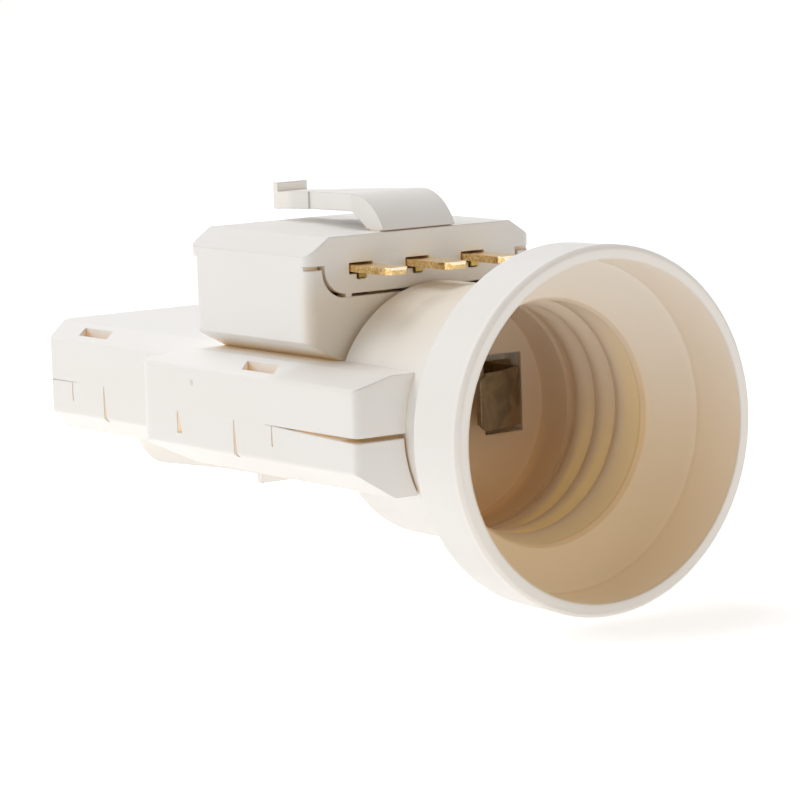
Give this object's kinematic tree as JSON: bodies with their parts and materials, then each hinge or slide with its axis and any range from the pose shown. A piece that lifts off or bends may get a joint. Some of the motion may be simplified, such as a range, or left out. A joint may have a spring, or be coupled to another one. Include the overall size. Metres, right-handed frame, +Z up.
{
  "type": "lamp holder",
  "caption": "Screw lamp holder on a flat two-part snap housing with plug blades at its rear, and a bladed plug with a cord inlet and a sprung latch lever lying on the housing behind the neck.",
  "frame": {"origin": "on the lamp axis, inside the thread bore, 12 mm in from the cup's mouth", "axes": "+X along the lamp axis out of the cup's mouth, +Z up from the housing's joint plane to the plug"},
  "size_m": [0.1009, 0.0432, 0.0445],
  "materials": {
    "housing_plastic": "satin warm white moulding",
    "plug_plastic": "satin warm white moulding",
    "latch_plastic": "satin warm white moulding",
    "brass": "stamped, lightly tarnished",
    "contact_metal": "dull dark spring strip",
    "screw_steel": "zinc plated"
  },
  "bodies": {
    "holder": {"holder_shell": "housing_plastic", "lower_cover": "housing_plastic", "plug_base": "plug_plastic", "plug_lid": "plug_plastic", "live_lead": "brass", "neutral_lead": "brass", "plug_neutral_blade": "brass", "plug_earth_blade": "brass", "plug_live_blade": "brass", "neutral_terminal": "brass", "earth_terminal": "brass", "live_terminal": "brass", "side_contact": "contact_metal", "side_contact_rivet": "brass", "terminal_screws": "screw_steel", "clamp_screws": "screw_steel", "cord_clamp": "plug_plastic"},
    "plug_latch": {"plug_latch": "latch_plastic"},
    "holder_latch": {"holder_latch": "latch_plastic"},
    "center_contact": {"center_contact": "contact_metal"}
  },
  "joints": [
    {"name": "plug_latch_press", "type": "hinge", "parent": "holder", "child": "plug_latch", "pos_m": [-0.021, -0.00128, 0.01965], "axis": [0, -1, 0], "range_deg": [0, 2.3], "stiffness_Nm_per_rad": 0.5},
    {"name": "holder_latch_press", "type": "hinge", "parent": "holder", "child": "holder_latch", "pos_m": [-0.0746, 0, -0.00635], "axis": [0, -1, 0], "range_deg": [0, 3.7], "stiffness_Nm_per_rad": 0.5},
    {"name": "center_contact_flex", "type": "hinge", "parent": "holder", "child": "center_contact", "pos_m": [-0.0261, 0.0092, 0.00075], "axis": [0, 0, -1], "range_deg": [0, 8], "stiffness_Nm_per_rad": 0.15}
  ]
}
